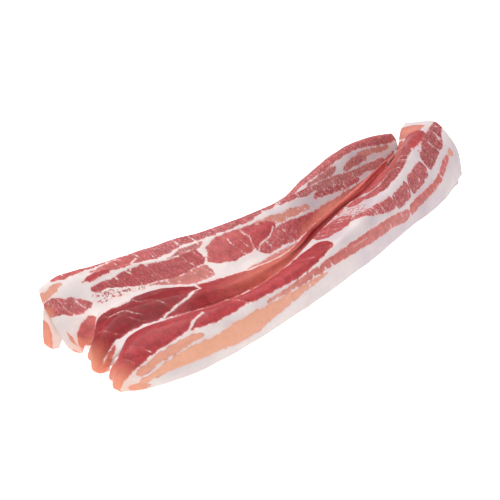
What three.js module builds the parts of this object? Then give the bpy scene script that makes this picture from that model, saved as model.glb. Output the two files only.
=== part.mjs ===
import * as THREE from "three";

// A bundle of raw streaky bacon rashers, lying on its long side in loose ridges.
// Lengths are in millimetres. X runs along the bundle, Y across it, Z up.
const SLICE = 1.6; // thickness of one rasher
const GAP = 0.6; // air between two layers
const STEP = SLICE + GAP;
const EASE = 1.6; // extra air over the solid heart
const NOSE = 14; // length of a drooping end, along the rasher
const NOSE_REACH = 9; // how far that droop reaches along X
const SPINE = 22; // depth of the line that the layers are stacked away from
const SPINE_ROUND = 6; // softens the stacking where a drooping tip passes that line
const GROUND_BLEND = 12; // height over which the stacking turns level
const LEAN = 0.94; // how far the stacking turns towards the tip of a drooping end
const LEAST_RISE = 0.5; // of the solid heart above the table, inside its rim
const TRIM_BLEND = 40; // length over which a shaped far end fades into the rasher
const CELL = 7.5; // facet length along a rasher
const HEART_CELL = 8; // facet length along the heart
const CENTRE = [25.6, -1.2]; // middle of the bundle's outline, which becomes the origin

// Each line runs along the bundle: [x, y, z] stations on the top of the upper layer.
const FRONT_FOOT = [
  [-110, -29, 0],
  [-100, -35, 0],
  [-76, -41.5, 0],
  [-43, -43, 0],
  [0, -41, 0],
  [40, -38.5, 0],
  [85, -32, 0],
  [130, -25, 0],
  [165, -15, 0],
];
const FRONT_CREST = [
  [-110, -24, 17],
  [-92, -21, 19],
  [-56, -29, 19],
  [-20, -32, 19],
  [20, -31.5, 20.5],
  [45, -29, 23],
  [70, -24, 25],
  [110, -9, 27],
  [140, 4, 28],
  [165, 11, 27],
];
const FRONT_VALLEY = [
  [-110, -14, 7],
  [-99, -13, 14],
  [-86, -11.5, 15.5],
  [-65, -17.5, 16],
  [-50, -22.5, 16],
  [-27, -24.7, 15],
  [4, -21.8, 15],
  [42, -10, 15],
  [70, -3, 15.5],
  [90, -1, 16],
  [114, 6, 17],
  [131, 12.5, 18.5],
  [150, 25, 23],
  [165, 31, 24],
];
const MIDDLE_CREST = [
  [-110, -5, 17],
  [-98, -2, 19.5],
  [-86, 0, 21],
  [-65, -5, 21],
  [-50, -12, 21],
  [-27, -18, 19.5],
  [4, -18, 17.5],
  [20, -15.5, 17],
  [42, -7.5, 17],
  [90, 1.5, 18],
  [131, 14.5, 19.5],
  [165, 26, 22],
];
const MIDDLE_VALLEY = [
  [-110, 9, 5],
  [-104, 10.5, 10],
  [-98, 11.5, 15],
  [-92, 12.5, 18],
  [-76, 9.5, 19.5],
  [-58, 4, 20],
  [-45, -5.5, 20],
  [-20, -11.5, 19],
  [5, -14.2, 17.5],
  [20, -12.5, 17.5],
  [42, -5, 18],
  [90, 4, 20],
  [131, 15.5, 20.5],
  [165, 28, 20],
];
const BACK_CREST = [
  [-110, 39, 29.5],
  [-95, 39, 32],
  [-72, 34, 31.5],
  [-37, 26.5, 31.5],
  [0, 18, 31.5],
  [25, 15, 31.5],
  [42, 14, 33],
  [58, 16.5, 36],
  [75, 18.5, 39],
  [95, 21.5, 38.8],
  [114, 23.5, 36.5],
  [128, 24, 33.5],
  [140, 25, 30],
  [165, 30, 24],
];
const BACK_FOOT = [
  [-112, 31, 0],
  [-101, 40, 0],
  [-90, 48, 0],
  [-60, 44, 0],
  [-20, 35, 0],
  [20, 31, 0],
  [55, 32, 0],
  [95, 37, 0],
  [137, 35, 0],
  [165, 33, 0],
];
const LINES = [
  FRONT_FOOT,
  FRONT_CREST,
  FRONT_VALLEY,
  MIDDLE_CREST,
  MIDDLE_VALLEY,
  BACK_CREST,
  BACK_FOOT,
];

const clamp = (v, lo, hi) => Math.min(hi, Math.max(lo, v));
const smooth = (v) => {
  const t = clamp(v, 0, 1);
  return t * t * (3 - 2 * t);
};

// Smooth curve through stations [x, a, b]; returns [a, b] at x.
function along(x, stations) {
  const last = stations.length - 1;
  const at = clamp(x, stations[0][0], stations[last][0]);
  let i = 0;
  while (i < last - 1 && stations[i + 1][0] <= at) i += 1;
  const slope = (j, k) => {
    const rise = (n) => {
      const [a, b] = [stations[n], stations[n + 1]];
      return (b[k] - a[k]) / (b[0] - a[0]);
    };
    if (j === 0) return rise(0);
    if (j === last) return rise(last - 1);
    return (rise(j - 1) + rise(j)) / 2;
  };
  const span = stations[i + 1][0] - stations[i][0];
  const t = (at - stations[i][0]) / span;
  const between = (k) => {
    const [a, b] = [stations[i][k], stations[i + 1][k]];
    return hermite(t, a, slope(i, k) * span, b, slope(i + 1, k) * span);
  };
  return [between(1), between(2)];
}

function hermite(t, a, da, b, db) {
  const t2 = t * t;
  const t3 = t2 * t;
  return (2 * t3 - 3 * t2 + 1) * a + (t3 - 2 * t2 + t) * da + (3 * t2 - 2 * t3) * b + (t3 - t2) * db;
}

// Straight-line table of [x, value] pairs.
function ramp(x, pairs) {
  const last = pairs.length - 1;
  if (x <= pairs[0][0]) return pairs[0][1];
  if (x >= pairs[last][0]) return pairs[last][1];
  let i = 0;
  while (pairs[i + 1][0] < x) i += 1;
  const t = (x - pairs[i][0]) / (pairs[i + 1][0] - pairs[i][0]);
  return pairs[i][1] + (pairs[i + 1][1] - pairs[i][1]) * t;
}

// Cross-section at x: q counts the lines from the front foot (0) to the back foot (6).
function section(x, q) {
  const p = LINES.map((line) => along(x, line));
  const i = clamp(Math.floor(q), 0, 5);
  const t = q - i;
  const dy = (j) => {
    if (j === 0) return (p[1][0] - p[0][0]) / 4;
    if (j === 6) return (p[6][0] - p[5][0]) / 4;
    return (p[j + 1][0] - p[j - 1][0]) / 2;
  };
  const dz = (j) => {
    if (j === 0) return 1.5 * p[1][1];
    if (j === 6) return -1.5 * p[5][1];
    return 0;
  };
  return {
    y: hermite(t, p[i][0], dy(i), p[i + 1][0], dy(i + 1)),
    z: hermite(t, p[i][1], dz(i), p[i + 1][1], dz(i + 1)),
    axis: (p[0][0] + p[6][0]) / 2,
  };
}

// How far a point lies into a drooping end: its turn (0 on the table) and its way along X.
function nose(inside) {
  const a = clamp(inside / NOSE, 0, 1);
  const turn = (a * Math.PI) / 2;
  const reach = NOSE_REACH * (1 - Math.cos(turn)) + (NOSE - NOSE_REACH) * a * a;
  return { turn, shift: inside < NOSE ? reach - inside : 0 };
}

// Point of the layered sheet: s along, q across, depth below the upper layer's top.
// near and far say how much of each end droops, from 0 (cut straight) to 1 (down to the table).
function sheet(s, q, depth, { start, end, near, far }) {
  const head = nose(s - start);
  const tail = nose(end - s);
  const x = s + near * head.shift - far * tail.shift;
  const { y, z, axis } = section(x, q);
  const height = z * (1 - near * (1 - Math.sin(head.turn))) * (1 - far * (1 - Math.sin(tail.turn)));
  const ry = y - axis;
  const rz = height + SPINE * smooth(height / GROUND_BLEND);
  const r = Math.hypot(ry, rz, SPINE_ROUND);
  const forward = LEAN * (Math.cos(head.turn) * near - Math.cos(tail.turn) * far);
  const rest = Math.sqrt(1 - forward * forward);
  return [
    x + depth * forward,
    y - (depth * rest * ry) / r,
    Math.max(0, height - (depth * rest * rz) / r),
  ];
}

// One rasher: the sheet between two edges, closed into a slice of even thickness.
// trim shortens the far end by an amount that depends on the way across, 0 right to 1 left.
function rasher({ start, end, level, right, left, across, near = () => 1, far = 0, trim = () => 0 }) {
  const stations = [];
  const body = end - start - 2 * NOSE;
  const cells = Math.round(body / CELL);
  for (let k = 0; k < 6; k += 1) stations.push(start + (NOSE * k) / 6);
  for (let k = 0; k <= cells; k += 1) stations.push(start + NOSE + (body * k) / cells);
  for (let k = 1; k < 6; k += 1) stations.push(end - NOSE + (NOSE * k) / 5);
  const rows = stations.length;
  const position = [];
  for (const side of [0, 1]) {
    for (let i = 0; i < rows; i += 1) {
      for (let j = 0; j <= across; j += 1) {
        const a = ramp(stations[i], right);
        const b = ramp(stations[i], left);
        const q = a + ((b - a) * j) / across;
        const cut = trim(j / across);
        const s = stations[i] - cut * smooth(1 - (end - stations[i]) / TRIM_BLEND);
        const ends = { start, end: end - cut, near: near(q), far };
        position.push(...sheet(s, q, level * STEP + side * SLICE, ends));
      }
    }
  }
  const w = across + 1;
  const under = rows * w;
  const index = [];
  const quad = (a, b, c, d) => index.push(a, b, c, a, c, d);
  for (let i = 0; i < rows - 1; i += 1) {
    for (let j = 0; j < across; j += 1) {
      const k = i * w + j;
      quad(k, k + w, k + w + 1, k + 1);
      quad(under + k, under + k + 1, under + k + w + 1, under + k + w);
    }
    const r = i * w;
    const l = r + across;
    quad(r, under + r, under + r + w, r + w);
    quad(l, l + w, under + l + w, under + l);
  }
  const e = (rows - 1) * w;
  for (let j = 0; j < across; j += 1) {
    quad(j, j + 1, under + j + 1, under + j);
    quad(e + j, under + e + j, under + e + j + 1, e + j + 1);
  }
  const geometry = new THREE.BufferGeometry();
  geometry.setAttribute("position", new THREE.Float32BufferAttribute(position, 3));
  geometry.setIndex(index);
  geometry.computeVertexNormals();
  return geometry;
}

// The hidden inside of the bundle: one solid from the lowest layers down to the table.
function heart({ start, end, depth, across, right, left }) {
  const cells = Math.round((end(0) - start(0)) / HEART_CELL);
  const top = [];
  const foot = [];
  for (let i = 0; i <= cells; i += 1) {
    const evenly = i / cells;
    const crowded = 0.6 * evenly + 0.2 * (1 - Math.cos(Math.PI * evenly));
    const middle = start(0) + (end(0) - start(0)) * crowded;
    for (let j = 0; j <= across; j += 1) {
      const a = ramp(middle, right);
      const q = a + ((ramp(middle, left) - a) * j) / across;
      const ends = { start: start(q), end: end(q), near: 1, far: 1 };
      const s = ends.start + (ends.end - ends.start) * crowded;
      const point = sheet(s, q, ramp(q, depth) * STEP + EASE, ends);
      const onRim = i === 0 || i === cells || j === 0 || j === across;
      top.push(point[0], point[1], onRim ? 0 : Math.max(point[2], LEAST_RISE));
      foot.push(point[0], point[1], 0);
    }
  }
  const w = across + 1;
  const under = top.length / 3;
  const index = [];
  for (let i = 0; i < cells; i += 1) {
    for (let j = 0; j < across; j += 1) {
      const k = i * w + j;
      const flip = i < cells / 2 !== j < across / 2; // keeps each corner's triangles off the table
      const [a, b, c, d] = flip ? [k + 1, k, k + w, k + w + 1] : [k, k + w, k + w + 1, k + 1];
      index.push(a, b, c, a, c, d);
      const [e, f, g, h] = flip ? [k, k + w, k + w + 1, k + 1] : [k + 1, k, k + w, k + w + 1];
      index.push(under + e, under + g, under + f, under + e, under + h, under + g);
    }
  }
  const geometry = new THREE.BufferGeometry();
  geometry.setAttribute("position", new THREE.Float32BufferAttribute([...top, ...foot], 3));
  geometry.setIndex(index);
  return geometry;
}

// How much shorter a rounded far end is at either corner.
const roundEnd = (f) => 9 * Math.abs(2 * f - 1) ** 3;
const MEAT = { color: 0xb5585a, roughness: 0.42, metalness: 0 };

const RASHERS = {
  rasher_front: {
    start: -112,
    end: 165,
    level: 0,
    across: 11,
    right: [[-112, 0], [0, 0], [40, 0.05], [165, 0.1]],
    left: [[-112, 1.45], [-104, 1.6], [-95, 1.9], [165, 1.98]],
    trim: (f) => 5 - 5 * smooth(f / 0.3) + 6 * smooth((f - 0.6) / 0.4),
  },
  rasher_front_under: {
    start: -111,
    end: 166,
    level: 1,
    across: 7,
    far: 1,
    right: [[-112, 0.4], [-90, 0], [165, 0]],
    left: [[-112, 2.1], [-105, 2.05], [-97, 1.3], [165, 1.3]],
    trim: roundEnd,
  },
  rasher_middle: {
    start: -112,
    end: 122,
    level: 1,
    across: 8,
    right: [[-112, 2.2], [-105, 2.15], [-97, 1.4], [165, 1.4]],
    left: [[-112, 3.2], [-104, 3.5], [-96, 3.85], [-90, 4], [165, 4]],
  },
  rasher_middle_under: {
    start: -110,
    end: 112,
    level: 2,
    across: 8,
    right: [[-112, 2.35], [-105, 2.25], [-95, 1.5], [165, 1.5]],
    left: [[-112, 3.95], [-104, 3.9], [-95, 2.95], [165, 2.95]],
  },
  rasher_back: {
    start: -110,
    end: 138,
    level: 2,
    across: 11,
    right: [[-112, 4.1], [-104, 4.05], [-95, 3.1], [20, 3.1], [45, 3.6], [165, 3.6]],
    left: [[-112, 4.95], [35, 4.92], [58, 4.72], [75, 4.58], [95, 4.42], [120, 4.35], [165, 4.35]],
    near: (q) => 1 - smooth((q - 3.9) / 0.4),
  },
  rasher_back_under: {
    start: -92,
    end: 141,
    level: 3,
    across: 9,
    right: [[-112, 3.9], [165, 3.9]],
    left: [[-112, 5.05], [40, 5.1], [60, 5.3], [165, 5.3]],
    near: () => 0,
  },
  rasher_back_low: {
    start: -122,
    end: 147,
    level: 4,
    across: 10,
    far: 1,
    right: [[-122, 4.45], [165, 4.3]],
    left: [[-122, 4.7], [-108, 4.9], [-97, 5.35], [-84, 5.85], [-72, 6], [165, 6]],
    trim: roundEnd,
  },
};

const HEART = {
  start: (q) => -99 + 2 * (q / 3 - 1) ** 2,
  end: (q) => 160 - 23 * smooth((q - 1.2) / 2.4) - 2 * (q / 3 - 1) ** 2,
  depth: [[1, 2], [1.3, 3.4], [3.6, 3.2], [4.1, 5.4], [5, 5.6]],
  across: 16,
  right: [[-97, 0.6], [-65, 0.1], [130, 0.1], [160, 0.6]],
  left: [[-97, 4.9], [-60, 5.8], [110, 5.8], [160, 4.8]],
};

const bundle = new THREE.Group();
bundle.name = "bacon_bundle";
function add(name, geometry) {
  geometry.translate(-CENTRE[0], -CENTRE[1], 0);
  const mesh = new THREE.Mesh(geometry, new THREE.MeshStandardMaterial(MEAT));
  mesh.name = name;
  bundle.add(mesh);
}
for (const [name, dims] of Object.entries(RASHERS)) add(name, rasher(dims));
add("rashers_within", heart(HEART));

export default bundle;
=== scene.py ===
import math

import bpy
import numpy as np
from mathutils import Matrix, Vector


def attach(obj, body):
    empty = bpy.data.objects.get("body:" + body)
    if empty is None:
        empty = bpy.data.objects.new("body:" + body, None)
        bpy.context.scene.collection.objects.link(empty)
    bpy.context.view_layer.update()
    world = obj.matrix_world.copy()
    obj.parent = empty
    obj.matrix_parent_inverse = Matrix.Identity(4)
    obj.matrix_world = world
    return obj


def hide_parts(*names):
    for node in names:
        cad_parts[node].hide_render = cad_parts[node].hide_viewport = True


bl_info = {
    "name": "Bundle of raw bacon rashers",
    "version": (1, 0, 0),
    "blender": (4, 5, 0),
    "location": "View3D > Sidebar > Bacon",
    "description": "Builds a loose bundle of raw streaky bacon rashers on a pale table",
    "category": "Add Mesh",
}

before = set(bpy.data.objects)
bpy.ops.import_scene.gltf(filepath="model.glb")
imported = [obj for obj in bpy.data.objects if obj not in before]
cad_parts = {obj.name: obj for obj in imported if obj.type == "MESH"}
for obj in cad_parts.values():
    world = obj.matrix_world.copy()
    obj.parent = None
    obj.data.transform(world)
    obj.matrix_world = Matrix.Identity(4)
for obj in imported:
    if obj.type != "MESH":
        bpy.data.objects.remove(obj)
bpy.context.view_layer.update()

# Shape. Lengths here are in millimetres: s runs along a rasher, q counts the lines
# across the bundle from its front foot (0) to its back foot (6).
MM = 0.001
SLICE = 1.6
GAP = 0.6
STEP = SLICE + GAP
EASE = 1.6
CENTRE = (25.6, -1.2)
LINE_SPACING = 18
LEAST_RISE = 0.5

# Drooping ends, and how the layers below follow the top one
NOSE = 14
NOSE_REACH = 9
SPINE = 22
SPINE_ROUND = 6
GROUND_BLEND = 12
LEAN = 0.94
FOOT_FLARE = 0.25
FOOT_STEEP = 1.5
DROOP_TO = 3.9
DROOP_BLEND = 0.4

# Cut ends of a rasher: rounded corners and uneven edges
WIDTH = 40
END_ROUND = 9
TRIM_BLEND = 40
TIP_ROUND = 5
TIP_BLEND = 25
RAGGED = 0.8
RAGGED_SIZE = 9

# Facets: stations close to an edge, which is rounded, and on a narrow row
ROUND_EDGE = 0.8
EDGE_STATIONS = np.array([0, 0.08, 0.3, 0.6, 1.0])
NARROW = 3
NARROW_STATIONS = np.linspace(0, 0.2, 5)
ARC_STEPS = 420
WELD = 2e-6

# The flat map of a rasher is in centimetres, each rasher on a strip of its own.
FLAT_UNIT = 10
FLAT_APART = 7

FRONT_FOOT = [(-110, -29, 0), (-100, -35, 0), (-76, -41.5, 0), (-43, -43, 0), (0, -41, 0),
              (40, -38.5, 0), (85, -32, 0), (130, -25, 0), (165, -15, 0)]
FRONT_CREST = [(-110, -24, 17), (-92, -21, 19), (-56, -29, 19), (-20, -32, 19),
               (20, -31.5, 20.5), (45, -29, 23), (70, -24, 25), (110, -9, 27),
               (140, 4, 28), (165, 11, 27)]
FRONT_VALLEY = [(-110, -14, 7), (-99, -13, 14), (-86, -11.5, 15.5), (-65, -17.5, 16),
                (-50, -22.5, 16), (-27, -24.7, 15), (4, -21.8, 15), (42, -10, 15),
                (70, -3, 15.5), (90, -1, 16), (114, 6, 17), (131, 12.5, 18.5),
                (150, 25, 23), (165, 31, 24)]
MIDDLE_CREST = [(-110, -5, 17), (-98, -2, 19.5), (-86, 0, 21), (-65, -5, 21),
                (-50, -12, 21), (-27, -18, 19.5), (4, -18, 17.5), (20, -15.5, 17),
                (42, -7.5, 17), (90, 1.5, 18), (131, 14.5, 19.5), (165, 26, 22)]
MIDDLE_VALLEY = [(-110, 9, 5), (-104, 10.5, 10), (-98, 11.5, 15), (-92, 12.5, 18),
                 (-76, 9.5, 19.5), (-58, 4, 20), (-45, -5.5, 20), (-20, -11.5, 19),
                 (5, -14.2, 17.5), (20, -12.5, 17.5), (42, -5, 18), (90, 4, 20),
                 (131, 15.5, 20.5), (165, 28, 20)]
BACK_CREST = [(-110, 39, 29.5), (-95, 39, 32), (-72, 34, 31.5), (-37, 26.5, 31.5),
              (0, 18, 31.5), (25, 15, 31.5), (42, 14, 33), (58, 16.5, 36), (75, 18.5, 39),
              (95, 21.5, 38.8), (114, 23.5, 36.5), (128, 24, 33.5), (140, 25, 30),
              (165, 30, 24)]
BACK_FOOT = [(-112, 31, 0), (-101, 40, 0), (-90, 48, 0), (-60, 44, 0), (-20, 35, 0),
             (20, 31, 0), (55, 32, 0), (95, 37, 0), (137, 35, 0), (165, 33, 0)]
LINES = [FRONT_FOOT, FRONT_CREST, FRONT_VALLEY, MIDDLE_CREST, MIDDLE_VALLEY, BACK_CREST,
         BACK_FOOT]


def smooth(v):
    """Smooth step from 0 to 1."""
    t = np.clip(v, 0, 1)
    return t * t * (3 - 2 * t)


def hermite(t, a, da, b, db):
    """Curve from a to b that leaves and arrives with the slopes da and db."""
    t2 = t * t
    t3 = t2 * t
    return ((2 * t3 - 3 * t2 + 1) * a + (t3 - 2 * t2 + t) * da
            + (3 * t2 - 2 * t3) * b + (t3 - t2) * db)


def ramp(x, pairs):
    """Straight lines through pairs (x, value)."""
    return np.interp(x, [p[0] for p in pairs], [p[1] for p in pairs])


def along(x, stations):
    """Smooth curve through stations (x, a, b): the arrays a and b at x."""
    st = np.array(stations, float)
    at = np.clip(x, st[0, 0], st[-1, 0])
    i = np.clip(np.searchsorted(st[:, 0], at, side="right") - 1, 0, len(st) - 2)
    rise = np.diff(st[:, 1:], axis=0) / np.diff(st[:, 0])[:, None]
    slope = np.vstack([rise[:1], (rise[:-1] + rise[1:]) / 2, rise[-1:]])
    span = st[i + 1, 0] - st[i, 0]
    t = (at - st[i, 0]) / span
    return [hermite(t, st[i, k], slope[i, k - 1] * span, st[i + 1, k], slope[i + 1, k - 1] * span)
            for k in (1, 2)]


def section(x, q):
    """Place across and height of the bundle's top layer, and the bundle's middle line."""
    p = np.array([along(x, line) for line in LINES])
    y, z = p[:, 0], p[:, 1]
    dy = np.empty_like(y)
    dy[0] = FOOT_FLARE * (y[1] - y[0])
    dy[-1] = FOOT_FLARE * (y[-1] - y[-2])
    dy[1:-1] = (y[2:] - y[:-2]) / 2
    dz = np.zeros_like(z)
    dz[0] = FOOT_STEEP * z[1]
    dz[-1] = -FOOT_STEEP * z[-2]
    i = np.clip(np.floor(q), 0, len(LINES) - 2).astype(int)
    t = q - i

    def pick(a, k):
        return np.take_along_axis(a, (i + k)[None], 0)[0]

    return (hermite(t, pick(y, 0), pick(dy, 0), pick(y, 1), pick(dy, 1)),
            hermite(t, pick(z, 0), pick(dz, 0), pick(z, 1), pick(dz, 1)),
            (y[0] + y[-1]) / 2)


def nose(inside):
    """Turn and shift of a drooping end, by the length already inside it."""
    a = np.clip(inside / NOSE, 0, 1)
    turn = a * math.pi / 2
    reach = NOSE_REACH * (1 - np.cos(turn)) + (NOSE - NOSE_REACH) * a * a
    return turn, np.where(inside < NOSE, reach - inside, 0)


def sheet(s, q, depth, start, end, near, far):
    """Point of the layered sheet at s along, q across and depth below its top."""
    head, head_shift = nose(s - start)
    tail, tail_shift = nose(end - s)
    x = s + near * head_shift - far * tail_shift
    y, z, axis = section(x, q)
    height = z * (1 - near * (1 - np.sin(head))) * (1 - far * (1 - np.sin(tail)))
    ry = y - axis
    rz = height + SPINE * smooth(height / GROUND_BLEND)
    r = np.sqrt(ry ** 2 + rz ** 2 + SPINE_ROUND ** 2)
    forward = LEAN * (np.cos(head) * near - np.cos(tail) * far)
    rest = np.sqrt(1 - forward * forward)
    return np.stack([x + depth * forward,
                     y - depth * rest * ry / r,
                     np.maximum(0, height - depth * rest * rz / r)], -1)


# Large odd numbers that stir the lattice points into even chance
STIR_ALONG = 374761393
STIR_ACROSS = 668265263
STIR_SEED = 974634777
STIR_AGAIN = 1274126177


def dice(i, j, seed):
    """Repeatable random number from -1 to 1 for each lattice point."""
    h = i.astype(np.int64) * STIR_ALONG + j.astype(np.int64) * STIR_ACROSS + seed * STIR_SEED
    h = (h ^ (h >> 13)) * STIR_AGAIN & 0xFFFFFFFF
    return ((h ^ (h >> 16)) & 0xFFFF) / 32767.5 - 1


def waves(u, v, size, seed):
    """Smooth random waviness of about that size."""
    x, y = u / size, v / size
    i, j = np.floor(x), np.floor(y)
    a, b = smooth(x - i), smooth(y - j)
    low = dice(i, j, seed) * (1 - a) + dice(i + 1, j, seed) * a
    high = dice(i, j + 1, seed) * (1 - a) + dice(i + 1, j + 1, seed) * a
    return low * (1 - b) + high * b


def all_over(q):
    """An end that droops right across."""
    return np.ones_like(q)


def nowhere(q):
    """An end that doesn't droop, or isn't cut back, anywhere."""
    return np.zeros_like(q)


def inner_side(q):
    """The near end of the back rasher droops towards the middle and stands at its corner."""
    return 1 - smooth((q - DROOP_TO) / DROOP_BLEND)


def round_end(f):
    """Cut from a far end in mm, by the share across: both corners are rounded off."""
    return END_ROUND * np.abs(2 * f - 1) ** 3


def raised_end(f):
    """Cut from the far end of the front rasher: more at its left corner than its right."""
    return 5 - 5 * smooth(f / 0.3) + 6 * smooth((f - 0.6) / 0.4)


# Each rasher: its start and end, how many layers it lies down, where its near end (near)
# and far end (far) droop, its edges as stations (s, q) and what is cut from its far end.
RASHERS = {
    "rasher_front": dict(
        start=-112, end=165, level=0, near=all_over, far=0,
        right=[(-112, 0), (0, 0), (40, 0.05), (165, 0.1)],
        left=[(-112, 1.45), (-104, 1.6), (-95, 1.9), (165, 1.98)],
        trim=raised_end),
    "rasher_front_under": dict(
        start=-111, end=166, level=1, near=all_over, far=1,
        right=[(-112, 0.4), (-90, 0), (165, 0)],
        left=[(-112, 2.1), (-105, 2.05), (-97, 1.3), (165, 1.3)], trim=round_end),
    "rasher_middle": dict(
        start=-112, end=122, level=1, near=all_over, far=0,
        right=[(-112, 2.2), (-105, 2.15), (-97, 1.4), (165, 1.4)],
        left=[(-112, 3.2), (-104, 3.5), (-96, 3.85), (-90, 4), (165, 4)], trim=nowhere),
    "rasher_middle_under": dict(
        start=-110, end=112, level=2, near=all_over, far=0,
        right=[(-112, 2.35), (-105, 2.25), (-95, 1.5), (165, 1.5)],
        left=[(-112, 3.95), (-104, 3.9), (-95, 2.95), (165, 2.95)], trim=nowhere),
    "rasher_back": dict(
        start=-110, end=138, level=2, near=inner_side, far=0, tip=2,
        right=[(-112, 4.1), (-104, 4.05), (-95, 3.1), (20, 3.1), (45, 3.6), (165, 3.6)],
        left=[(-112, 4.95), (35, 4.92), (58, 4.72), (75, 4.58), (95, 4.42), (120, 4.35),
              (165, 4.35)], trim=nowhere),
    "rasher_back_under": dict(
        start=-92, end=141, level=3, near=nowhere, far=0,
        right=[(-112, 3.9), (165, 3.9)],
        left=[(-112, 5.05), (40, 5.1), (60, 5.3), (165, 5.3)], trim=nowhere),
    "rasher_back_low": dict(
        start=-122, end=147, level=4, near=all_over, far=1, tip=3,
        right=[(-122, 4.45), (165, 4.3)],
        left=[(-122, 4.7), (-108, 4.9), (-97, 5.35), (-84, 5.85), (-72, 6), (165, 6)],
        trim=round_end),
}


# Streaks of lean. Each is a band: stations (s, lower q, upper q). tone runs from 0, peach,
# to 1, deep red; dull turns it towards a dry purple-brown; speck breaks it into marbling.
# limit keeps it shallow, seams part it in blocks by lines of that width, pitch mm apart
# and leaning by slant, and cap is the length in mm of its round ends.
def streak(band, tone, dull=0, speck=0, limit=4.0, seams=0, pitch=8, slant=0.3, cap=2.2):
    """One streak of lean with the values that it leaves out."""
    return dict(band=band, tone=tone, dull=dull, speck=speck, limit=limit, seams=seams,
                pitch=pitch, slant=slant, cap=cap)


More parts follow.
